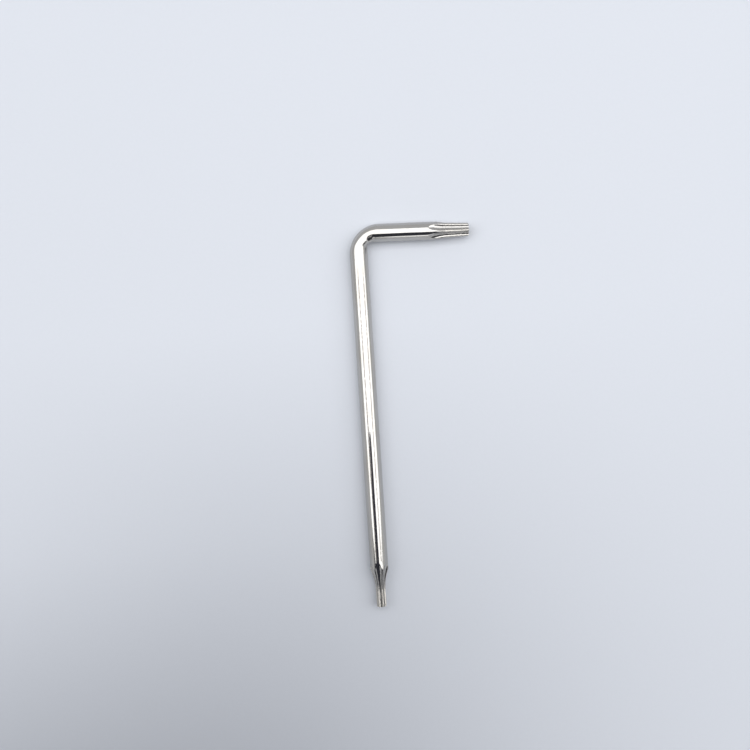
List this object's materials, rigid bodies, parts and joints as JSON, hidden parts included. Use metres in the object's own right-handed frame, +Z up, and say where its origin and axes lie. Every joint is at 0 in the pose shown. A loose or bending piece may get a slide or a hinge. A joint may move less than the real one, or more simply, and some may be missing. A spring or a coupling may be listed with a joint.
{
  "type": "six-lobe key",
  "caption": "L-shaped key of plated round steel bar with a fluted six-lobe drive tip on each end, drilled in the end face to clear the pin of a security screw.",
  "frame": {"origin": "under the middle of the key's outline, on the surface that it lies on", "axes": "+Z up from the surface, +Y along the long arm from its tip towards the bend, +X towards the short arm's tip"},
  "size_m": [0.0208, 0.0658, 0.0031],
  "materials": {
    "bar_plating": "bright nickel plate over hardened steel, polished along the bar, with fine drawing lines",
    "tip_plating": "nickel plate over pressed flutes, a little duller than the bar, with a granular cut end face"
  },
  "bodies": {
    "root": {"long_tip": "tip_plating", "long_arm": "bar_plating", "bend": "bar_plating", "short_arm": "bar_plating", "short_tip": "tip_plating"}
  },
  "joints": []
}
